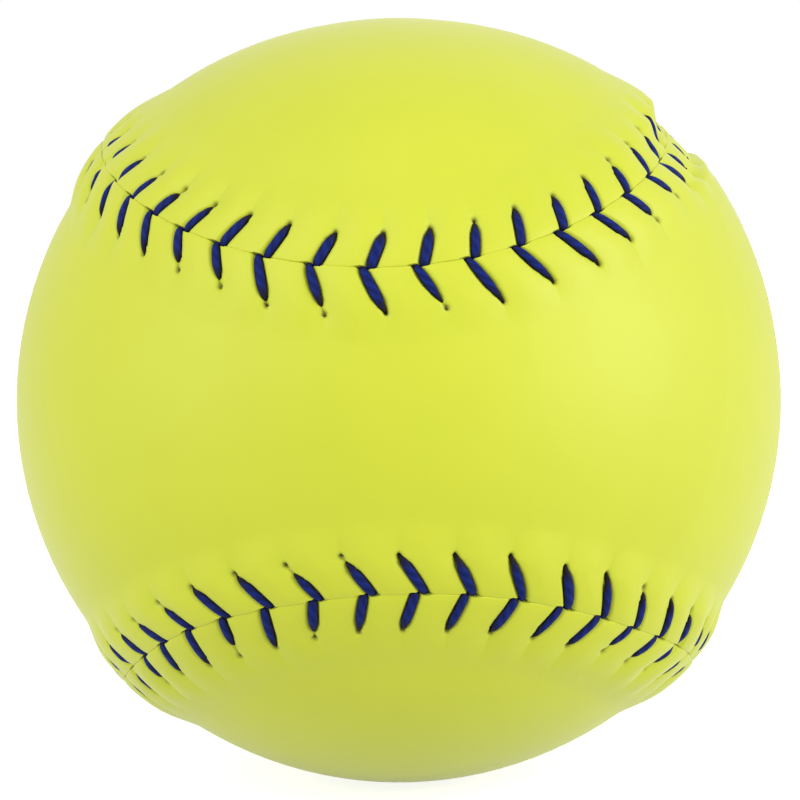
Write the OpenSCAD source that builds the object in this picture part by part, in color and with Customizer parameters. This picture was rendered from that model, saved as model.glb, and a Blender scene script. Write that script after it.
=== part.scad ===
// An 11-inch softball: a moulded core, a film of cement, two figure-eight
// cover panels, and the two threads that lace the panels together.
//
// The origin is the centre of the ball and +Z is up. The waist of the front
// panel faces -Y, and its two lobes wrap round the ball on the X side. The
// waist of the rear panel faces +Y, and its lobes cover the top and the bottom.
//
// Each panel is laid out on a grid that follows the seam. A place on the cover
// is given by its distance along the seam, s, and its distance from the seam, d.
// Every stitch owns three columns of that grid: two beside its thread, where
// the cover is pressed down, and one between the threads, where it swells.

/* [Ball] */
// Diameter of the ball over the plain of its cover
ball_d = 88.9; // [80:0.1:100]
// Width of a panel at its waist, from seam to seam over the ball
waist_w = 33.6; // [28:0.2:40]

/* [Cover] */
// Thickness of the cover
cover_t = 1.6; // [1.4:0.1:2]
// Distance from the seam at which the raised margin of a panel ends
margin_w = 9.6; // [8.6:0.1:11]
// Height of the cover between two threads, over its plain
swell_h = 1.4; // [1.2:0.05:1.7]
// Height of the cover under a thread, over its plain
press_h = 0.3; // [0.2:0.05:0.6]

/* [Core] */
// Thickness of the cement film on the core
cement_t = 0.3; // [0.2:0.05:0.6]

/* [Stitching] */
// Number of stitches round the whole seam
stitches = 92; // [84:4:96]
// Diameter of the waxed thread
thread_d = 1.2; // [1:0.05:1.25]
// Distance from the seam to the row of stitch holes
hole_row = 4.7; // [4.5:0.1:5]
// Distance along the seam by which the holes of a stitch lie behind the place where its threads meet
lean = 1.7; // [1.4:0.1:2]
// Place of the first stitch, as a share of the distance between two stitches
first_stitch_share = 0.89; // [0:0.01:1]

/* [Hidden] */

// Room on each side of a thread, in a hole, in the slot and under the cover
thread_gap = 0.08;
// Room between the cover and the cement film
lay_gap = 0.32;
// Room between the cement film and the core
film_gap = 0.05;
// Room inside the bends of a thread
bend_room = 0.1;
// Straight length of a thread between its bends over the cover and the middle of its hole
drop = 0.3;
// Room between the end of one length of thread and the next
join_gap = 0.1;
// Fineness of the round pieces
fine = 96;
thread_fine = 24;

cover_r = ball_d / 2;
lining_r = cover_r - cover_t;
cement_r = lining_r - lay_gap;
core_r = cement_r - cement_t - film_gap;
thread_r = thread_d / 2;

// The seam

// The waist sets how far the seam bends away from a great circle.
bend_share = (1 - sin(waist_w / ball_d * 180 / PI)) / 2;
round_share = 1 - bend_share;

// A place on the seam, as a direction from the centre of the ball, for a turn of 0 to 360 degrees.
function seam_dir(turn) =
    let (
        u = round_share * cos(turn) + bend_share * cos(3 * turn),
        v = round_share * sin(turn) - bend_share * sin(3 * turn),
        w = 2 * sqrt(round_share * bend_share) * sin(2 * turn)
    )
    [(u - v) / sqrt(2), -w, (u + v) / sqrt(2)];

// The seam is measured in short steps, so that the stitches can lie evenly along it.
seam_steps = 720;
step_turn = 360 / seam_steps;
seam_step = [for (i = [0:seam_steps - 1]) norm(seam_dir((i + 1) * step_turn) - seam_dir(i * step_turn))];
seam_sums = [for (i = 0, sum = 0; i <= seam_steps; sum = sum + (i < seam_steps ? seam_step[i] : 0), i = i + 1) sum];
turn_table = [for (i = [0:seam_steps]) [seam_sums[i] / seam_sums[seam_steps], i * step_turn]];
seam_length = seam_sums[seam_steps] * cover_r;
pitch = seam_length / stitches;

function turn_at(s) = lookup(s / seam_length - floor(s / seam_length), turn_table);
function unit(v) = v / norm(v);

// A place on the cover, as a direction, s along the seam and d away from it.
// side is 1 on the front panel and -1 on the rear panel.
function cover_dir(side, s, d) =
    let (
        turn = turn_at(s),
        here = seam_dir(turn),
        ahead = unit(seam_dir(turn + step_turn) - seam_dir(turn - step_turn)),
        across = side * unit(cross(here, ahead)),
        angle = d / cover_r * 180 / PI
    )
    here * cos(angle) + across * sin(angle);

// The two threads of a stitch go down the slot one behind the other, and each runs on under the other panel.
// This step between them lets the rear panel's thread pass the front panel's there with a gap.
pass_step = (thread_d + thread_gap) * norm([hole_row, pitch - lean]) / hole_row;

// Where the thread of a stitch goes down the slot, where its hole is, and its line over the cover between them.
function slot_s(side, i) = (i + first_stitch_share) * pitch + (side > 0 ? pass_step : 0);
function hole_s(i) = (i + first_stitch_share) * pitch - lean;
function thread_s(side, i, d) = slot_s(side, i) + (hole_s(i) - slot_s(side, i)) * min(d / near_row, 1);

// The figure-eight panels

slot_w = thread_d + 2 * thread_gap;
hole_w = thread_d + 2 * thread_gap;
// Distance from the centre of the ball to the middle of a straight thread that runs under a margin.
// It dips this far below its own ends, and the margin is lifted clear of them.
under_r = cement_r + 2 * thread_gap + thread_r;
under_dip = (pow(hole_row, 2) + pow(pitch - lean, 2)) / (8 * under_r);
lift_h = under_r + under_dip + thread_r + thread_gap - lining_r;

// Rows of the grid, by their distance from the seam.
slot_row = slot_w / 2;
near_row = hole_row - hole_w / 2;
far_row = hole_row + hole_w / 2;
crest_row_shares = [0.27, 0.64];
crest_rows = [for (share = crest_row_shares) slot_row + (near_row - slot_row) * share];
foot_row = (far_row + margin_w) / 2;
// Rows inside the margin, as shares of the way to the middle line of the panel.
inner_row_shares = [0.2, 0.42, 0.64, 0.84, 0.95];
// The middle line reaches this share of the way round to the tips of the lobes.
middle_reach_share = 0.88;

// Section of the margin between two threads: 0 at its foot, 1 at its crest.
crown_power = 0.45;
function crown(d) = sin(180 * pow(d / margin_w, crown_power));
function swell_r(d) = cover_r + swell_h * crown(d);
// Section of the margin under a thread.
press_r = cover_r + press_h;

// One row with three columns a stitch.
function wide_row(side, d) = [
    for (i = [0:stitches - 1], c = [0:2])
        let (shift = c == 0 ? -hole_w / 2 : c == 1 ? hole_w / 2 : pitch / 2)
            cover_dir(side, thread_s(side, i, d) + shift, d) * (c == 2 ? swell_r(d) : press_r)
];
// One row with two columns a stitch, on the lining of the margin.
function lining_row(side, d) = [
    for (i = [0:stitches - 1], shift = [-hole_w / 2, hole_w / 2])
        cover_dir(side, thread_s(side, i, d) + shift, d) * (lining_r + lift_h)
];
// One row with one column a stitch.
function plain_row(side, d, r) = [for (i = [0:stitches - 1]) cover_dir(side, thread_s(side, i, d), d) * r];
// The middle line runs along the panel through its waist and both lobes.
function middle_dir(side, way) =
    let (angle = middle_reach_share * (side > 0 ? atan2(way.x, -way.y) : atan2(way.z, way.y)))
    side > 0 ? [sin(angle), -cos(angle), 0] : [0, cos(angle), sin(angle)];
function inner_row(side, share, r) = [
    for (i = [0:stitches - 1])
        let (way = cover_dir(side, thread_s(side, i, margin_w), margin_w))
            unit(way * (1 - share) + middle_dir(side, way) * share) * r
];

function outer_rows(side) = concat(
    [for (d = concat([slot_row], crest_rows, [near_row, far_row])) wide_row(side, d)],
    [plain_row(side, foot_row, cover_r + press_h * crown(foot_row)), plain_row(side, margin_w, cover_r)],
    [for (share = inner_row_shares) inner_row(side, share, cover_r)]
);
function lining_rows(side) = concat(
    [for (d = [slot_row, near_row, far_row]) lining_row(side, d)],
    [plain_row(side, margin_w, lining_r)],
    [for (share = inner_row_shares) inner_row(side, share, lining_r)]
);

function flat(lists) = [for (list = lists) each list];
// The number of the first point of each row.
function starts(rows, first) = [for (k = 0, n = first; k < len(rows); n = n + len(rows[k]), k = k + 1) n];
function quad(a, b, c, d) = [[a, b, c], [a, c, d]];
function turned(faces) = [for (f = faces) [f[2], f[1], f[0]]];

// Faces between a row that starts at point a0, with an columns a stitch, and the next row at b0, with bn.
// Where the row holds the stitch holes, the cell under each thread stays open.
function band(a0, an, b0, bn, holes = false) = [
    for (i = [0:stitches - 1])
        let (
            j = (i + 1) % stitches,
            a = [for (c = [0:an - 1]) a0 + i * an + c, a0 + j * an],
            b = [for (c = [0:bn - 1]) b0 + i * bn + c, b0 + j * bn]
        )
            each
                an == bn ? flat([for (c = [0:an - 1]) if (!(holes && c == 0)) quad(a[c], a[c + 1], b[c + 1], b[c])])
                : an == 3 ? [[a[0], a[1], b[0]], [a[1], a[2], b[0]], [a[2], b[1], b[0]], [a[2], a[3], b[1]]]
                : bn == 1 ? [[a[0], a[1], b[0]], [a[1], b[1], b[0]], [a[1], a[2], b[1]]]
                : concat(quad(a[0], a[1], b[1], b[0]), [[a[1], b[2], b[1]], [a[1], a[2], b[2]], [a[2], b[3], b[2]]])
];
// The four walls of each hole, from the near and far rows outside to the near and far rows of the lining.
function hole_walls(near, far, under_near, under_far) = [
    for (i = [0:stitches - 1])
        let (n = near + 3 * i, f = far + 3 * i, u = under_near + 2 * i, v = under_far + 2 * i)
            each concat(
                quad(n, n + 1, u + 1, u), quad(v, v + 1, f + 1, f),
                quad(u, v, f, n), quad(u + 1, n + 1, f + 1, v + 1)
            )
];
// The last row is a long slit along the middle line, and this closes it.
function middle_faces(side, row0) =
    let (
        tip = ceil((-side * seam_length / 8 - thread_s(side, 0, margin_w)) / pitch) + stitches
    )
    flat([
        for (i = [0:stitches / 2 - 2])
            quad(
                row0 + (tip + i) % stitches, row0 + (tip + i + 1) % stitches,
                row0 + (tip - i - 2 + stitches) % stitches, row0 + (tip - i - 1 + stitches) % stitches
            )
    ]);

module cover_panel(side) {
    outer = outer_rows(side);
    lining = lining_rows(side);
    columns = [3, 3, 3, 3, 3, for (k = [5:len(outer) - 1]) 1];
    lining_columns = [2, 2, 2, for (k = [3:len(lining) - 1]) 1];
    o = starts(outer, 0);
    l = starts(lining, len(flat(outer)));
    skin = flat([for (k = [0:len(outer) - 2]) band(o[k], columns[k], o[k + 1], columns[k + 1], k == 3)]);
    inside = flat([
        for (k = [0:len(lining) - 2]) band(l[k], lining_columns[k], l[k + 1], lining_columns[k + 1], k == 1)
    ]);
    faces = concat(
        skin,
        middle_faces(side, o[len(outer) - 1]),
        turned(inside),
        turned(middle_faces(side, l[len(lining) - 1])),
        band(l[0], 2, o[0], 3),
        hole_walls(o[3], o[4], l[1], l[2])
    );
    polyhedron(points = concat(flat(outer), flat(lining)), faces = side > 0 ? turned(faces) : faces, convexity = 6);
}

// The threads

// Distance from the centre of the ball to the middle of a thread over the cover.
over_r = cover_r + press_h + thread_gap + thread_r;
bend_r = thread_r + bend_room;
over_rise = bend_r + drop;
under_rise = bend_r + bend_room;
over_tail = over_r - over_rise - under_r - under_rise - under_dip - join_gap;

// A length of thread from one hole to another: straight down each, with two bends and a bar between them.
// from and to are the directions of the holes. The bar lies at bar_r, rise away from the ends of the bends,
// with up 1 where it lies over the cover and -1 where it lies under it. tail goes on past the bends' ends.
module laid_thread(from, to, bar_r, rise, up, tail) {
    middle = (from + to) / 2;
    axis_r = bar_r / norm(middle) - up * rise;
    span = norm(to - from) * axis_r;
    x_way = unit(to - from);
    z_way = unit(middle) * up;
    y_way = cross(z_way, x_way);
    start = from * axis_r;
    multmatrix([
        [x_way.x, y_way.x, z_way.x, start.x],
        [x_way.y, y_way.y, z_way.y, start.y],
        [x_way.z, y_way.z, z_way.z, start.z]
    ]) {
        translate([0, 0, rise - bend_r]) rotate([180, 0, 0]) rod(tail + rise - bend_r);
        translate([bend_r, 0, rise - bend_r]) rotate([90, 0, 0]) rotate([0, 0, 90]) bend();
        translate([bend_r, 0, rise]) rotate([0, 90, 0]) rod(span - 2 * bend_r);
        translate([span - bend_r, 0, rise - bend_r]) rotate([90, 0, 0]) bend();
        translate([span, 0, rise - bend_r]) rotate([180, 0, 0]) rod(tail + rise - bend_r);
    }
}

module rod(length) {
    cylinder(h = length, r = thread_r, $fn = thread_fine);
}

module bend() {
    rotate_extrude(angle = 90, $fn = thread_fine) translate([bend_r, 0]) circle(r = thread_r, $fn = thread_fine);
}

function hole_dir(side, i) = cover_dir(side, hole_s(i), hole_row);
function slot_dir(side, i) = cover_dir(side, slot_s(side, i), 0);

// Half a stitch: up through a hole, over the margin and down the slot,
// or on from the slot, under the other panel, to its next hole.
module half_stitch(side, i, over) {
    if (over) laid_thread(hole_dir(side, i), slot_dir(side, i), over_r, over_rise, 1, over_tail);
    else laid_thread(slot_dir(side, i), hole_dir(-side, i + 1), under_r, under_rise, -1, 0);
}

// Each thread comes up on the front panel at one stitch and on the rear panel at the next.
module thread(first_side) {
    for (i = [0:stitches - 1], over = [true, false]) half_stitch(i % 2 == 0 ? first_side : -first_side, i, over);
}

// The pieces

module core() {
    color("#e6dcc0") sphere(r = core_r, $fn = fine);
}

module cement_film() {
    color("#caa860") difference() {
        sphere(r = cement_r, $fn = fine);
        sphere(r = core_r + film_gap, $fn = fine);
    }
}

module front_cover_panel() {
    color("#d9e457") cover_panel(1);
}

module rear_cover_panel() {
    color("#d9e457") cover_panel(-1);
}

module first_thread() {
    color("#222c66") thread(1);
}

module second_thread() {
    color("#222c66") thread(-1);
}

core();
cement_film();
front_cover_panel();
rear_cover_panel();
first_thread();
second_thread();
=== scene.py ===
import math

import bpy
from mathutils import Matrix, Vector


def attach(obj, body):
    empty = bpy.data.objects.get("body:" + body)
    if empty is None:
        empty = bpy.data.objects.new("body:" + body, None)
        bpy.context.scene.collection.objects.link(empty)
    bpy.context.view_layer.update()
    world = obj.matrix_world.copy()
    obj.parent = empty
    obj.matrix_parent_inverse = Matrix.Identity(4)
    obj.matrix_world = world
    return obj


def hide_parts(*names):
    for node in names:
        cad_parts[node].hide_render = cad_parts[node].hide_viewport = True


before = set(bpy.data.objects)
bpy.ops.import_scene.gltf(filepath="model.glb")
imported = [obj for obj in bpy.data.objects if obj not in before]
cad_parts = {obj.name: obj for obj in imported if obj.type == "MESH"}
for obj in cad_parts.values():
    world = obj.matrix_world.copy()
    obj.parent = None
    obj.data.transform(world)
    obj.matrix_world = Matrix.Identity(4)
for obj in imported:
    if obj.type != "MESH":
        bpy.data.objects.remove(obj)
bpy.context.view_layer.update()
scene = bpy.context.scene
MM = 0.001

# Camera
# The ball is seen from 295 mm, a little above the waist of its front panel, through a long lens.
# It lies turned by 2 degrees in the picture, so the camera leans by as much.
camera_azimuth = math.radians(0.8869)
camera_elevation = math.radians(4.2958)
camera_roll = math.radians(-1.9992)
camera_distance = 295.055 * MM
camera = bpy.data.objects.new("camera", bpy.data.cameras.new("camera"))
camera.data.sensor_width = 36
camera.data.lens = 112.892
camera.data.shift_x = 0.0015
camera.data.shift_y = 0.0002
camera.data.clip_start = 0.01
camera.data.clip_end = 20
camera.matrix_world = (
    Matrix.Rotation(camera_azimuth, 4, "Z")
    @ Matrix.Rotation(-camera_elevation, 4, "X")
    @ Matrix.Translation((0, -camera_distance, 0))
    @ Matrix.Rotation(math.pi / 2, 4, "X")
    @ Matrix.Rotation(camera_roll, 4, "Z")
)
scene.collection.objects.link(camera)
scene.camera = camera

# Core and cement
# The core is one moulded ball of polyurethane foam with a matt skin. Latex cement is brushed on it, and dries
# to a thin amber film that holds the cover down. Both lie hidden inside the cover.
cream = (0.7, 0.6, 0.4, 1)
pale_cream = (0.8, 0.72, 0.53, 1)
dark_amber = (0.42, 0.24, 0.06, 1)
amber = (0.62, 0.42, 0.14, 1)


def feed(node, values):
    """Sets the sockets of a node, or links them where the value comes from another node."""
    for name, value in values.items():
        if isinstance(value, Value):
            node.id_data.links.new(value.socket, node.inputs[name])
        else:
            node.inputs[name].default_value = value


class Value:
    """A node's output. Sums and products of values add their nodes to the tree that the output is in."""

    def __init__(self, socket):
        self.socket = socket

    def node(self, kind, settings={}, inputs={}, output=0):
        """Any other node: its type, its settings, its sockets' values, and which output to give back."""
        node = self.socket.id_data.nodes.new(kind)
        for name, value in settings.items():
            setattr(node, name, value)
        feed(node, inputs)
        return Value(node.outputs[output])

    def beside(self, output):
        """Another output of the node that this value comes from."""
        return Value(self.socket.node.outputs[output])

    def math(self, operation, *terms):
        return self.node("ShaderNodeMath", {"operation": operation}, dict(enumerate(terms)))

    def vector(self, operation, *terms, output=0):
        return self.node("ShaderNodeVectorMath", {"operation": operation}, dict(enumerate(terms)), output)

    def __add__(self, other):
        return self.math("ADD", self, other)

    def __radd__(self, other):
        return self.math("ADD", other, self)

    def __sub__(self, other):
        return self.math("SUBTRACT", self, other)

    def __rsub__(self, other):
        return self.math("SUBTRACT", other, self)

    def __mul__(self, other):
        return self.math("MULTIPLY", self, other)

    def __rmul__(self, other):
        return self.math("MULTIPLY", other, self)

    def __truediv__(self, other):
        return self.math("DIVIDE", self, other)

    def __rtruediv__(self, other):
        return self.math("DIVIDE", other, self)

    def __mod__(self, other):
        return self.math("FLOORED_MODULO", self, other)

    def __pow__(self, other):
        return self.math("POWER", self, other)

    def __neg__(self):
        return self.math("MULTIPLY", self, -1.0)

    def sin(self):
        return self.math("SINE", self)

    def cos(self):
        return self.math("COSINE", self)

    def exp(self):
        return self.math("EXPONENT", self)

    def floor(self):
        return self.math("FLOOR", self)

    def least(self, other):
        return self.math("MINIMUM", self, other)

    def most(self, other):
        return self.math("MAXIMUM", self, other)

    def bell(self, middle, reach):
        """1 where this value is middle, falling to nothing on both sides within about twice the reach."""
        return (((self - middle) / reach) ** 2 * -1).exp()

    def ramp(self, low, high, start=0.0, end=1.0, way="LINEAR"):
        """start up to low, end from high on, and a straight or smooth way between them."""
        return self.node(
            "ShaderNodeMapRange",
            {"interpolation_type": way},
            {"Value": self, "From Min": low, "From Max": high, "To Min": start, "To Max": end},
        )

    def mix(self, other, share):
        """This number where share is 0 and the other where it is 1."""
        return self + (other - self) * share

    def blend(self, first, second):
        """The first colour where this value is 0 and the second where it is 1."""
        return self.node("ShaderNodeMix", {"data_type": "RGBA"}, {0: self, 6: first, 7: second}, 2)

    def scale(self, factor):
        """This vector, made longer by the factor."""
        return self.node("ShaderNodeVectorMath", {"operation": "SCALE"}, {0: self, "Scale": factor})

    def parts(self):
        """The x, y and z of this vector."""
        x = self.node("ShaderNodeSeparateXYZ", {}, {0: self})
        return x, x.beside(1), x.beside(2)


def new_material(name):
    """A material, its shader, and the object coordinates of the spot that is shaded."""
    material = bpy.data.materials.new(name)
    material.use_nodes = True
    shader = material.node_tree.nodes["Principled BSDF"]
    spot = Value(shader.outputs["BSDF"]).node("ShaderNodeTexCoord", output="Object")
    return material, shader, spot


def bumps(height, distance, strength):
    """The surface's normal under bumps of this height, with the distance in metres from 0 to 1."""
    return height.node("ShaderNodeBump", {}, {"Height": height, "Distance": distance, "Strength": strength})


def foam():
    material, shader, spot = new_material("core_foam")
    pores = spot.node("ShaderNodeTexVoronoi", {}, {"Vector": spot, "Scale": 900.0})
    patches = spot.node("ShaderNodeTexNoise", {}, {"Vector": spot, "Scale": 90.0})
    colour = patches.blend(cream, pale_cream)
    feed(shader, {"Base Color": colour, "Roughness": 0.8, "Normal": bumps(pores, 0.1 * MM, 0.5)})
    return material


def latex():
    material, shader, spot = new_material("cement")
    brush = {"Vector": spot, "Scale": 160.0, "Detail": 2.0, "Distortion": 2.0}
    strokes = spot.node("ShaderNodeTexNoise", {}, brush)
    colour = strokes.blend(dark_amber, amber)
    roughness = 0.35 + strokes * 0.2
    feed(shader, {"Base Color": colour, "Roughness": roughness, "Normal": bumps(strokes, 0.15 * MM, 0.5)})
    return material


for name, material in {"core": foam(), "cement_film": latex()}.items():
    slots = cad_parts[name].data.materials
    slots.clear()
    slots.append(material)

# Cover panels
# Two figure-eight pieces of fluorescent yellow-green synthetic leather are cemented over the core and pulled
# together by the lacing. Their margins stand up over the thread that runs beneath them, swell between the
# stitches, and are drawn down under each leg and into each hole.
ball_r = 44.45
leather_thickness = 1.6
stitch_seed = 7

# The seam is one closed curve that divides the ball into the two panels. All else is laid out from it. A
# place on the cover is its distance along the seam, s, and its distance from the seam, d, in millimetres, and
# its side: 1 on the front panel and -1 on the rear one.
waist_w = 33.6
bend_share = (1 - math.sin(waist_w / 2 / ball_r)) / 2
round_share = 1 - bend_share
seam_steps = 1440


def seam_place(turn, sin, cos):
    """A place on the seam of a ball of radius 1, for a turn of 0 to 2 pi."""
    u = cos(turn) * round_share + cos(turn * 3) * bend_share
    v = sin(turn) * round_share - sin(turn * 3) * bend_share
    w = sin(turn * 2) * (2 * math.sqrt(round_share * bend_share))
    return (u - v) / math.sqrt(2), w * -1, (u + v) / math.sqrt(2)


seam_turns = [2 * math.pi * step / seam_steps for step in range(seam_steps + 1)]
seam_points = [seam_place(turn, math.sin, math.cos) for turn in seam_turns]
seam_length = ball_r * sum(math.dist(a, b) for a, b in zip(seam_points, seam_points[1:]))

# The stitches lie evenly along the seam, each a V with its point on the seam and a punched hole at the end of
# each leg. The legs lean back from point to hole, and the front leg goes down a little ahead of the rear one.
stitches = 92
first_stitch_share = 0.8945
pitch = seam_length / stitches
waist_stitch = 10.6
point_back = 0.4
point_sway = 0.3
front_hole_d = 3.9
rear_hole_d = 3.85
front_lean = 1.55
rear_lean = 1.35
front_lead = 0.85
most_tucked = 1.3
leg_half_width = 0.54


def new_tree(name, inputs, outputs):
    """A node group with named inputs and outputs: the group, its inputs as values, and its exit."""
    tree = bpy.data.node_groups.new(name, "GeometryNodeTree")
    for socket, kind in inputs.items():
        tree.interface.new_socket(socket, in_out="INPUT", socket_type="NodeSocket" + kind)
    for socket, kind in outputs.items():
        tree.interface.new_socket(socket, in_out="OUTPUT", socket_type="NodeSocket" + kind)
    entry = tree.nodes.new("NodeGroupInput")
    values = {socket: Value(entry.outputs[socket]) for socket in inputs}
    return tree, values, tree.nodes.new("NodeGroupOutput")


def place_tree():
    """Group: a place on the cover, as a direction from the middle of the ball."""
    sockets = {"s": "Float", "d": "Float", "side": "Float"}
    tree, inputs, exit_node = new_tree("cover_place", sockets, {"place": "Vector"})
    s, d, side = inputs["s"], inputs["d"], inputs["side"]
    step = s.node("GeometryNodeInputIndex")
    x, y, z = seam_place(step * (2 * math.pi / seam_steps), Value.sin, Value.cos)
    circle = s.node("GeometryNodeCurvePrimitiveCircle", {}, {"Resolution": seam_steps, "Radius": 1.0})
    point = s.node("ShaderNodeCombineXYZ", {}, {0: x, 1: y, 2: z})
    seam = s.node("GeometryNodeSetPosition", {}, {"Geometry": circle, "Position": point})
    laps = s / seam_length
    share = laps.math("FRACT", laps)
    here = s.node("GeometryNodeSampleCurve", {"mode": "FACTOR"}, {0: seam, "Factor": share}, "Position")
    ahead = here.beside("Tangent")
    here = here.vector("NORMALIZE", here)
    across = here.vector("NORMALIZE", here.vector("CROSS_PRODUCT", here, ahead))

    # The seam wavers at two places of the lower front. The waver is gone where a panel's margin ends, so that
    # the halves of the panel meet on its middle line.
    number = share * stitches - first_stitch_share
    waver = number.bell(52, 2.2) * 0.6 + number.bell(65, 2.2) * 0.5
    angle = (d + waver * side * d.ramp(2.0, 8.0, 1.0, 0.0, "SMOOTHSTEP")) / ball_r
    direction = here.vector("ADD", here.scale(angle.cos()), across.scale(angle.sin() * side))
    feed(exit_node, {"place": direction})
    return tree


def stitch_tree():
    """Group: where one leg of a stitch meets the seam and where its hole is, each a little off its rule."""
    tree, inputs, exit_node = new_tree(
        "stitch",
        {"number": "Float", "side": "Float", "seed": "Int"},
        {
            "tip s": "Float", "other s": "Float", "hole s": "Float", "hole d": "Float", "open d": "Float",
            "width": "Float", "taper": "Float", "pull": "Float", "closed": "Float", "low": "Float",
            "flat": "Float", "full": "Float",
        },
    )
    number, side, seed = inputs["number"], inputs["side"], inputs["seed"]
    front = side.ramp(-1, 1)
    stitch_number = (number % stitches + 0.5).floor()
    leg_number = stitch_number + (front * 100).floor()

    def spread(about, most, order):
        """A random part of up to most, the same each time for one stitch or one leg."""
        return number.node(
            "FunctionNodeRandomValue",
            {},
            {2: -most, 3: most, "ID": about, "Seed": seed.math("ADD", seed, order)},
            1,
        )

    def near_stitch(middle, every, reach):
        """1 on the stitches near the middle one, and near each one that follows at a step of every."""
        past = (stitch_number + (every / 2 - middle)) % every - every / 2
        return ((past / reach) ** 4 * -1).exp()

    # The points of the V's. off_waist is a turn that begins anew at the middle of each waist and each lobe.
    off_waist = (stitch_number - waist_stitch) * (8 * math.pi / stitches)
    point = (number + first_stitch_share) * pitch - point_back - off_waist.sin() * point_sway
    point = point + spread(stitch_number, 0.12, 1)
    point = point + near_stitch(14.0, stitches, 2.2) * 0.5 - near_stitch(52.5, stitches, 2.5) * 0.45
    lead = front_lead + spread(stitch_number, 0.12, 2)

    # The holes, and where the thread goes down, which on a tucked stitch is short of its hole.
    hole_s = point - front.ramp(0, 1, rear_lean, front_lean) + spread(leg_number, 0.22, 3)
    front_d = near_stitch(10.0, stitches, 3.8) * 1.0 + near_stitch(58.5, stitches, 6.5) * 0.45 + front_hole_d
    rear_d = near_stitch(56.0, stitches, 4.5) * 0.75 + rear_hole_d
    hole_d = rear_d.mix(front_d, front) + spread(leg_number, 0.25, 4)
    tucked = spread(leg_number, 1.0, 7).ramp(0.15, 1.0, 0.0, most_tucked)

    # At four places the margins have closed over the points of the V's, and at the waists they swell less.
    # Near the upper right of the picture they have sunk, and the panels are fuller beside them.
    closed = near_stitch(-0.9, stitches / 4, 4.4)
    flat = off_waist.cos() * 0.24 + 0.24
    low = near_stitch(0.0, stitches, 3.2)
    full = low * front.ramp(0, 1, 0.6, 0.85) + near_stitch(21.5, stitches, 4.5) * (1 - front) * 0.4
    feed(exit_node, {
        "tip s": point + front * lead,
        "other s": point + (1 - front) * lead,
        "hole s": hole_s,
        "hole d": hole_d,
        "open d": hole_d - tucked,
        "width": 1 + spread(leg_number, 0.12, 5),
        "taper": 0.55 + spread(leg_number, 0.12, 8),
        "pull": 1 + spread(leg_number, 0.4, 6),
        "closed": closed,
        "low": low,
        "flat": flat,
        "full": full,
    })
    return tree


place_group = place_tree()
stitch_group = stitch_tree()


def place(s, d, side):
    return s.node("GeometryNodeGroup", {"node_tree": place_group}, {"s": s, "d": d, "side": side})


def stitch(number, side, seed):
    """One stitch's measures by name."""
    inputs = {"number": number, "side": side, "seed": seed}
    first = number.node("GeometryNodeGroup", {"node_tree": stitch_group}, inputs)
    return {socket.name: Value(socket) for socket in first.socket.node.outputs}


def leg_width(leg, share, front):
    """Half the width of a leg, in millimetres, at a share of the way from the seam to its hole."""
    to_hole = 1 - share.ramp(leg["taper"], 1.02) ** 2
    to_seam = 1 - share.ramp(0.0, 0.45, 1.0, 0.0) ** 2 * front.ramp(0, 1, 0.08, 0.3)
    return to_hole * to_seam * leg["width"] * leg_half_width


def low_band(leg, d, front):
    """1 where the margins have sunk beside the seam, fading to 0 where they stand up again."""
    fade_from = front.ramp(0, 1, 1.2, 4.3)
    fade_to = front.ramp(0, 1, 3.6, 6.2)
    return d.ramp(fade_from, fade_to, 1.0, 0.0, "SMOOTHSTEP") * leg["low"]


def keep(geometry, name, value, kind="FLOAT"):
    """The geometry with a value kept on its points under a name."""
    inputs = {"Geometry": geometry, "Name": name, "Value": value}
    return geometry.node("GeometryNodeStoreNamedAttribute", {"data_type": kind}, inputs)


def finished(geometry, material):
    """The geometry, smooth and real, with its material."""
    smooth = geometry.node("GeometryNodeSetShadeSmooth", {}, {"Geometry": geometry})
    real = smooth.node("GeometryNodeRealizeInstances", {}, {"Geometry": smooth})
    return real.node("GeometryNodeSetMaterial", {}, {"Geometry": real, "Material": material})


def made(name, tree, inputs):
    """The plain mesh that a node group makes from its inputs, as a piece on the ball's one body."""
    piece = bpy.data.objects.new(name, bpy.data.meshes.new(name))
    scene.collection.objects.link(piece)
    nodes = piece.modifiers.new("nodes", "NODES")
    nodes.node_group = tree
    for socket in tree.interface.items_tree:
        if socket.in_out == "INPUT":
            nodes[socket.identifier] = inputs[socket.name]
    graph = bpy.context.evaluated_depsgraph_get()
    mesh = bpy.data.meshes.new_from_object(
        piece.evaluated_get(graph), preserve_all_data_layers=True, depsgraph=graph
    )
    piece.modifiers.remove(nodes)
    piece.data = mesh
    mesh.name = name
    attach(piece, "root")
    return piece


# A panel is one sheet, a tube of rows: from the panel's middle line along the lining to the seam, up the cut
# edge, out over the margin, and on to the middle line again.
columns_a_stitch = 20
columns = stitches * columns_a_stitch
lining_margin_row = 3
lining_thin_row = 4
lining_seam_row = 5
edge_row = 6
outer_row = 10
stitched_row = 32
margin_row = 42
full_row = 51
middle_row = 54
middle_reach = 0.88

# The distances from the seam that the rows keep to, and the sizes of the leather's forms, in millimetres.
edge_round = 0.12
stitched_d = 6.0
thinned_d = 5.0
edge_thickness = 1.05
least_gap = 0.004
sunk_depth = 0.4
full_d = 11
full_reach = 4
bed_edge = 0.22
pucker_length = 4.6
hole_r = 0.24
tail_r = 0.13
tail_depth = 0.12


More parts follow.
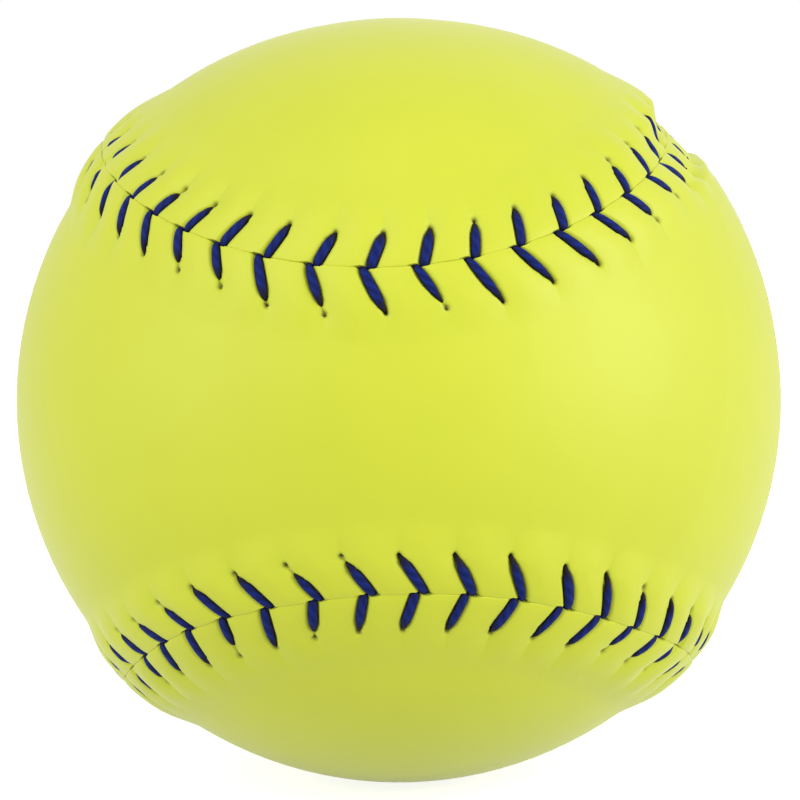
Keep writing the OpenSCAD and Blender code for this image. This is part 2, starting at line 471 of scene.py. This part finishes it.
def panel_tree():
    """Group: one panel, its lining, cut edge and outside, as a closed sheet."""
    tree, inputs, exit_node = new_tree(
        "cover_panel",
        {
            "side": "Float", "margin width": "Float", "swell height": "Float", "bed depth": "Float",
            "hole depth": "Float", "slot width": "Float", "seed": "Int", "material": "Material",
        },
        {"panel": "Geometry"},
    )
    side, seed, margin = inputs["side"], inputs["seed"], inputs["margin width"]
    front = side.ramp(-1, 1)
    index = side.node("GeometryNodeInputIndex")
    row = ((index + 0.5) / columns).floor()
    column = index - row * columns

    # Columns: beside the stitches they follow the legs, and towards the middle of the panel they are even.
    even_s = -side * (seam_length / 8) - side * ((column + 0.5) * (seam_length / columns))
    first_s = -side * (seam_length / 8) - side * (0.5 * seam_length / columns)
    first_number = ((first_s / pitch - first_stitch_share) * columns_a_stitch + 0.5).floor()
    number = first_number - side * column
    gap = ((number + 0.5) / columns_a_stitch).floor()
    even_way = number / columns_a_stitch - gap
    way = even_way - (even_way * (2 * math.pi)).sin() * 0.1
    behind = stitch(gap, side, seed)
    ahead = stitch(gap + 1, side, seed)

    def between_legs(measure):
        """A measure of the stitches, from the one behind to the one ahead."""
        return behind[measure].mix(ahead[measure], way)

    # Rows: each at its own distance from the seam, a little further off where the slot is open.
    edge_way = row.ramp(edge_row, outer_row)
    stitched_way = row.ramp(outer_row, stitched_row, 0, stitched_d)
    outer_d = edge_way * edge_round + stitched_way
    outer_d = outer_d + row.ramp(stitched_row, margin_row, 0, margin - (edge_round + stitched_d))
    lining_d = row.ramp(lining_thin_row, lining_seam_row, thinned_d, 0.0)
    lining_d = lining_d + row.ramp(lining_margin_row, lining_thin_row, margin - thinned_d, 0.0)
    seam_s = between_legs("tip s")

    def slot_here(leg):
        """1 where the thread of the other panel's leg goes down between the panels."""
        past = seam_s - leg["other s"]
        open_here = past.ramp(-0.75, -0.4, way="SMOOTHSTEP") * past.ramp(0.45, 0.95, 1.0, 0.0, "SMOOTHSTEP")
        return open_here * (1 - leg["closed"])

    slot = slot_here(behind).most(slot_here(ahead))
    d = outer_d + lining_d
    d = d + (slot * inputs["slot width"] * 0.5 + least_gap) * (d * -1.6).exp()

    def leg_s(leg):
        return leg["tip s"].mix(leg["hole s"], (d / leg["hole d"]).least(1.0))

    behind_s, ahead_s = leg_s(behind), leg_s(ahead)
    even_share = row.ramp(stitched_row, margin_row, way="SMOOTHSTEP")
    even_share = even_share + row.ramp(lining_margin_row, lining_seam_row, 1.0, 0.0)
    s = behind_s.mix(ahead_s, way).mix(even_s, even_share)
    out = place(s, d, side)

    # The middle line of a panel runs through its waist and both lobes, and ends short of the lobes' ends.
    x, y, z = out.parts()
    angle = x.math("ARCTAN2", z.mix(x, front), y * -side) * middle_reach
    middle_place = {0: angle.sin() * front, 1: angle.cos() * -side, 2: angle.sin() * (1 - front)}
    middle = x.node("ShaderNodeCombineXYZ", {}, middle_place)
    middle_share = row.ramp(margin_row, middle_row) + row.ramp(0, lining_margin_row, 1.0, 0.0)
    out = out.node("ShaderNodeMix", {"data_type": "VECTOR"}, {0: middle_share, 4: out, 5: middle}, 1)
    out = out.vector("NORMALIZE", out)

    # Height of the margin: a hump between two legs, a bed under each leg, and a pucker past each hole.
    hump = (((d / margin).least(1.0) ** 1.8) * (math.pi / 2)).cos() ** 2 * inputs["swell height"]
    hump = hump * (1 - between_legs("flat")) - d.bell(0.0, 0.5) * 0.08
    band = low_band(behind, d, front).mix(low_band(ahead, d, front), way)
    lips = d.bell(full_d, full_reach) * row.ramp(margin_row, full_row, 1.0, 0.0)
    hump = hump * (1 - between_legs("low") * 0.1)
    hump = (hump + lips * between_legs("full")).mix(hump * 0.1 - sunk_depth, band)

    def away(other):
        """How far it is to another place on the cover, in millimetres."""
        return out.vector("DISTANCE", out, other, output=1) * ball_r

    behind_x = away(place(behind_s, d, side))
    ahead_x = away(place(ahead_s, d, side))
    half = (behind_x + ahead_x) / 2

    def pressed(leg, distance):
        """How far one leg draws the cover down here, and how near the leg, its hole and its tail are."""
        open_d = leg["open d"]
        slant = (leg["hole s"] - leg["tip s"]) / leg["hole d"]
        straight = ((slant ** 2 + 1) ** -0.5).mix(1.0, d.ramp(open_d - 0.3, open_d + 0.5, way="SMOOTHSTEP"))
        across = distance * straight
        near = (1 - (across / (half * straight)).least(1.0)) ** 1.7

        # The bed that the thread lies in, shut where the margins have closed over it.
        reach = leg_width(leg, d / open_d, front) * 0.9
        closed = leg["closed"] * d.ramp(1.2, 2.0, 1.0, 0.0, "SMOOTHSTEP")
        bed = across.ramp(reach, reach + bed_edge, 1.0, 0.0, "SMOOTHSTEP") * (1 - closed)
        bed = bed * d.ramp(open_d - 0.4, open_d + 0.1, 1.0, 0.0, "SMOOTHSTEP") * inputs["bed depth"]

        # The pucker that the thread pulls into the leather, which ends within the margin.
        pucker_end = (open_d + pucker_length).least(margin - 0.01)
        pucker = d.ramp(open_d, pucker_end, 1.0, 0.0, "SMOOTHSTEP") * leg["pull"]
        pucker = pucker * d.ramp(0.0, 3.5, 0.15, 0.45) * (1.25 - leg["flat"] * 1.2)

        # The tail is the thread's mark in the leather between where it goes down and its hole.
        tail = distance.bell(0.0, tail_r) * d.ramp(open_d - 0.3, open_d)
        tail = tail * d.ramp(leg["hole d"], leg["hole d"] + 0.15, 1.0, 0.0)
        hole = away(place(leg["hole s"], leg["hole d"], side)).bell(0.0, hole_r)
        return bed + pucker * near + tail * tail_depth, near, hole, tail

    behind_drop, behind_near, behind_hole, behind_tail = pressed(behind, behind_x)
    ahead_drop, ahead_near, ahead_hole, ahead_tail = pressed(ahead, ahead_x)
    between = (1 - behind_near) * (1 - ahead_near)
    gap_number = (gap % stitches + 0.5).floor() + front * 100
    fuller = gap.node("FunctionNodeRandomValue", {}, {2: -0.12, 3: 0.12, "ID": gap_number, "Seed": seed}, 1)
    hole = behind_hole + ahead_hole
    height = hump * (fuller * between + 1) - behind_drop - ahead_drop - hole * inputs["hole depth"]
    edge_drop = ((1 - edge_way) ** 2 * 0.05).mix((1 - edge_way) ** 8 * 0.9, slot)

    lining_height = row.ramp(lining_margin_row, lining_thin_row, -leather_thickness, -edge_thickness)
    lining = row.ramp(lining_seam_row, edge_row, 1.0, 0.0)
    out_r = (height - edge_drop).mix(lining_height, lining) + ball_r
    counts = {"Vertices": columns, "Side Segments": middle_row}
    sheet = index.node("GeometryNodeMeshCylinder", {"fill_type": "NONE"}, counts)
    point = out.scale(out_r * MM)
    panel = index.node("GeometryNodeSetPosition", {}, {"Geometry": sheet, "Position": point})

    # Painted shade in the leather's colour: brown-black in the holes and tails, greener in the creases of the
    # puckers beside the legs, and dark green on the cut edge where the slot between the panels is open.
    crease_shade = behind_near.most(ahead_near) * d.ramp(3.0, 8.5, 1.0, 0.0)
    slot_shade = row.ramp(edge_row, edge_row + 1 + slot * 1.5, 1.0, 0.0) * slot.ramp(0, 1, 0.05, 1.0)
    panel = keep(panel, "hole", hole.most((behind_tail + ahead_tail) * 0.35) * (1 - lining))
    panel = keep(panel, "crease_shade", crease_shade)
    panel = keep(panel, "slot_shade", slot_shade)
    panel = index.node("GeometryNodeMergeByDistance", {}, {"Geometry": panel, "Distance": 0.002 * MM})
    feed(exit_node, {"panel": finished(panel, inputs["material"])})
    return tree


yellow = (0.605, 0.665, 0.02, 1)
bright_yellow = (0.665, 0.715, 0.03, 1)
# Painted shade in the creases beside the legs.
crease_shade_green = (0.53, 0.66, 0.01, 1)
# Painted shade in the open slot between the panels.
slot_shade_green = (0.22, 0.27, 0.04, 1)
# Painted shade in the holes and tails.
hole_shade_brown = (0.05, 0.03, 0.012, 1)


def kept_value(spot, name, output="Fac"):
    """In a material, a value that the mesh keeps on its points."""
    return spot.node("ShaderNodeAttribute", {"attribute_name": name}, {}, output)


def leather():
    material, shader, spot = new_material("cover_leather")
    patches = spot.node("ShaderNodeTexNoise", {}, {"Vector": spot, "Scale": 60.0, "Detail": 3.0})
    colour = patches.blend(yellow, bright_yellow)
    # Painted shade: a greener tone in the creases beside the legs.
    colour = (kept_value(spot, "crease_shade") * 0.3).blend(colour, crease_shade_green)
    # Painted shade: dark green on the cut edge where the slot between the panels is open.
    colour = (kept_value(spot, "slot_shade") * 0.8).blend(colour, slot_shade_green)
    # Painted shade: brown-black in the holes and along the tails.
    colour = (kept_value(spot, "hole") * 1.3).least(1.0).blend(colour, hole_shade_brown)
    cells = spot.node("ShaderNodeTexVoronoi", {"feature": "SMOOTH_F1"}, {"Vector": spot, "Scale": 2200.0})
    fine = spot.node("ShaderNodeTexNoise", {}, {"Vector": spot, "Scale": 1500.0, "Detail": 4.0})
    grain = bumps(cells * 0.5 + fine * 0.5, 0.03 * MM, 0.6)
    feed(shader, {"Base Color": colour, "Roughness": 0.48 + patches * 0.06, "Normal": grain})
    feed(shader, {"Specular IOR Level": 0.55, "Sheen Weight": 0.25, "Sheen Roughness": 0.4})
    return material


cover_leather = leather()
panels = panel_tree()
panel_sizes = {
    "swell height": 1.4, "bed depth": 0.55, "hole depth": 0.6, "slot width": 0.3,
    "seed": stitch_seed, "material": cover_leather,
}
for name, side, margin_width in (("front_cover_panel", 1.0, 8.4), ("rear_cover_panel", -1.0, 10.2)):
    panel = made(name + "_leather", panels, {"side": side, "margin width": margin_width} | panel_sizes)
    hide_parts(name)

# Threads
# Two lengths of twisted, waxed blue thread lace the panels together and take turns. Each comes up through a
# hole, lies over the margin, goes down between the panels and runs on under the other panel to its next hole.
thread_points = 12
thread_sides = 12
smooth_steps = 5
slot_half_width = 0.16
under_half_width = 0.34
twist_length = 4.2
plies = 3
deep_blue = (0.002, 0.006, 0.06, 1)
blue = (0.006, 0.022, 0.22, 1)
shade_brown = (0.01, 0.007, 0.006, 1)


def thread_tree():
    """Group: one thread's whole run, as a closed tube."""
    tree, inputs, exit_node = new_tree(
        "lacing",
        {"first side": "Float", "half thickness": "Float", "seed": "Int", "material": "Material"},
        {"thread": "Geometry"},
    )
    first_side, seed = inputs["first side"], inputs["seed"]
    index = first_side.node("GeometryNodeInputIndex")
    number = ((index + 0.5) / thread_points).floor()
    part = index - number * thread_points
    side = first_side * (1 - (number % 2.0) * 2)
    front = side.ramp(-1, 1)
    leg = stitch(number, side, seed)
    onward = stitch(number + 1, -side, seed)

    def by_part(values):
        """One of the listed values, by the part of the stitch that a point belongs to."""
        switch = part.node("GeometryNodeIndexSwitch", {"data_type": "FLOAT"}).socket.node
        while len(switch.index_switch_items) < len(values):
            switch.index_switch_items.new()
        feed(switch, {"Index": part} | dict(enumerate(values, 1)))
        return Value(switch.outputs[0])

    # Points 0 and 1 lie in the hole, 2 to 7 over the margin, 8 in the slot, 9 to 11 under the other panel.
    over_share = by_part([0, 0, 0.03, 0.15, 0.38, 0.62, 0.84, 0.98, 1.07, 1, 1, 1])
    under_share = by_part([0, 0, 0, 0, 0, 0, 0, 0, 0, 0.16, 0.42, 0.8])
    height = by_part([-1.5, -0.6, 0.4, 0.85, 1.0, 1.08, 1.06, 0.8, -0.3, -1.35, -1.5, -1.5])
    thickness = by_part([0.9, 0.7, 0.7, 0.9, 1, 1, 0.95, 0.85, 0.8, 0.9, 0.9, 0.9])
    # Where the thread dives into a hole or the slot and runs under the leather, its colour is darkened with
    # painted shade.
    dark = by_part([1, 1, 1, 0.8, 0, 0, 0, 0.7, 1, 1, 1, 1])
    sunk = low_band(leg, leg["open d"] * (1 - over_share), front)
    height = height - by_part([0, 0, 1.2, 1.4, 1.45, 1.5, 1.3, 1.2, 0.7, 0, 0, 0]) * sunk
    height = height - by_part([0, 0, 0.1, 0.25, 0.25, 0.3, 0.8, 0.8, 0, 0, 0, 0]) * leg["closed"]
    height = height - by_part([0, 0.3, 1.1, 1.25, 1.35, 1.4, 1.4, 1.4, 0.6, 0, 0, 0]) * leg["flat"]
    under = part.ramp(8.4, 8.6)

    def open_s(leg):
        """Where a leg goes down, on its line from its tip to its hole."""
        return leg["tip s"].mix(leg["hole s"], leg["open d"] / leg["hole d"])

    s = open_s(leg).mix(leg["tip s"], over_share) + (open_s(onward) - leg["tip s"]) * under_share
    d = leg["open d"] * (1 - over_share) + onward["open d"] * under_share
    point = place(s, d, side * (1 - under * 2)).scale((height + ball_r) * MM)
    hidden_half_width = part.ramp(7, 9, slot_half_width, under_half_width)
    half_width = leg_width(leg, 1 - over_share, front).most(hidden_half_width)

    circle = index.node("GeometryNodeCurvePrimitiveCircle", {}, {"Resolution": stitches * thread_points})
    line = index.node("GeometryNodeSetPosition", {}, {"Geometry": circle, "Position": point})
    line = keep(line, "half_width", half_width)
    line = keep(line, "half_thickness", thickness * inputs["half thickness"])
    line = keep(line, "dark", dark)
    line = index.node("GeometryNodeCurveSplineType", {"spline_type": "CATMULL_ROM"}, {"Curve": line})
    line = index.node("GeometryNodeSetSplineResolution", {}, {"Geometry": line, "Resolution": smooth_steps})
    line = index.node("GeometryNodeResampleCurve", {"mode": "EVALUATED"}, {"Curve": line})
    position = index.node("GeometryNodeInputPosition")
    line = keep(line, "middle", position, "FLOAT_VECTOR")
    line = keep(line, "onward", index.node("GeometryNodeInputTangent"), "FLOAT_VECTOR")
    line = keep(line, "run", index.node("GeometryNodeSplineParameter", output="Length"))
    ring = index.node("GeometryNodeCurvePrimitiveCircle", {}, {"Resolution": thread_sides, "Radius": 1.0})
    ring = keep(ring, "round", position, "FLOAT_VECTOR")
    tube = index.node("GeometryNodeCurveToMesh", {}, {"Curve": line, "Profile Curve": ring})

    def kept(name, kind="FLOAT"):
        return index.node("GeometryNodeInputNamedAttribute", {"data_type": kind}, {"Name": name})

    # Each ring of the tube is pressed from round to the leg's own width and thickness.
    middle, onward_way = kept("middle", "FLOAT_VECTOR"), kept("onward", "FLOAT_VECTOR")
    offset = position.vector("SUBTRACT", position, middle)
    wide_way = middle.vector("CROSS_PRODUCT", onward_way, middle.vector("NORMALIZE", middle))
    aside = offset.vector("DOT_PRODUCT", offset, wide_way, output=1)
    wide, thick = kept("half_width"), kept("half_thickness")
    tube = keep(tube, "edge", aside.math("ABSOLUTE", aside))
    pressed = middle.vector("ADD", offset.scale(thick * MM), wide_way.scale(aside * (wide - thick) * MM))
    point = middle.vector("ADD", middle, pressed)
    tube = index.node("GeometryNodeSetPosition", {}, {"Geometry": tube, "Position": point})
    feed(exit_node, {"thread": finished(tube, inputs["material"])})
    return tree


def thread_wax():
    material, shader, spot = new_material("waxed_thread")
    x, y = kept_value(spot, "round", "Vector").parts()[:2]
    around = x.math("ARCTAN2", y, x)
    turns = kept_value(spot, "run") * (2 * math.pi * plies / (twist_length * MM))
    ply = (around * plies + turns).sin() * 0.5 + 0.5
    fibre = spot.node("ShaderNodeTexNoise", {}, {"Vector": spot, "Scale": 3500.0, "Detail": 3.0})
    # Painted shade: brown-black where the thread dives in, and darker along the flattened thread's edges
    # beside the leather.
    shade = kept_value(spot, "dark").most(kept_value(spot, "edge").ramp(0.55, 1.0, 0.0, 0.8))
    colour = shade.blend((ply * 0.6 + fibre * 0.4).blend(deep_blue, blue), shade_brown)
    twist = bumps(ply + fibre * 0.3, 0.06 * MM, 0.8)
    feed(shader, {"Base Color": colour, "Roughness": 0.5 + fibre * 0.15, "Normal": twist})
    feed(shader, {"Specular IOR Level": 0.12})
    return material


waxed_thread = thread_wax()
threads = thread_tree()
thread_sizes = {"half thickness": 0.4, "seed": stitch_seed, "material": waxed_thread}
for name, side in {"first_thread": 1.0, "second_thread": -1.0}.items():
    thread = made(name + "_lacing", threads, {"first side": side} | thread_sizes)
    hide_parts(name)

# Floor and light
# The ball rests on a white floor in a white room. Three soft lamps light it, the strongest from the right and
# the others from the left and from above. The camera sees the room and the floor as plain white.
white = (1, 1, 1, 1)
black = (0, 0, 0, 1)
room_grey = (0.5, 0.5, 0.5, 1)
floor_grey = (0.7, 0.7, 0.7, 1)


def seen_rays(value):
    """1 for rays from the camera, also by way of a mirror or glass, and 0 for those that carry light."""
    straight = value.node("ShaderNodeLightPath", output="Is Camera Ray")
    return straight.most(straight.beside("Is Glossy Ray")).most(straight.beside("Is Transmission Ray"))


def room():
    world = bpy.data.worlds.new("room")
    scene.world = world
    world.use_nodes = True
    background = world.node_tree.nodes["Background"]
    seen = seen_rays(Value(background.outputs["Background"]))
    feed(background, {"Color": seen.blend(room_grey, white), "Strength": 1.0})


def floor():
    half = 6.0
    z = -ball_r * MM
    corners = [(-half, -half, z), (half, -half, z), (half, half, z), (-half, half, z)]
    mesh = bpy.data.meshes.new("floor")
    mesh.from_pydata(corners, [], [(0, 1, 2, 3)])
    piece = bpy.data.objects.new("floor", mesh)
    scene.collection.objects.link(piece)
    material, shader, spot = new_material("floor_white")
    glow = seen_rays(spot).blend(black, white)
    feed(shader, {"Base Color": floor_grey, "Roughness": 0.9, "Specular IOR Level": 0.0})
    feed(shader, {"Emission Color": glow, "Emission Strength": 0.8})
    mesh.materials.append(material)


def lamp(name, where, power):
    """A soft square lamp that shines on the ball."""
    light = bpy.data.lights.new(name, "AREA")
    light.size = 0.7
    light.energy = power
    piece = bpy.data.objects.new(name, light)
    piece.rotation_mode = "QUATERNION"
    piece.location = where
    piece.rotation_quaternion = (-Vector(where)).to_track_quat("-Z", "Y")
    scene.collection.objects.link(piece)


room()
floor()
lamp("right", (0.88, -0.4, 0.25), 6.5)
lamp("left", (-0.85, -0.5, 0.15), 3.0)
lamp("upper_left", (-0.45, -0.6, 0.7), 3.2)
scene.view_settings.view_transform = "Standard"
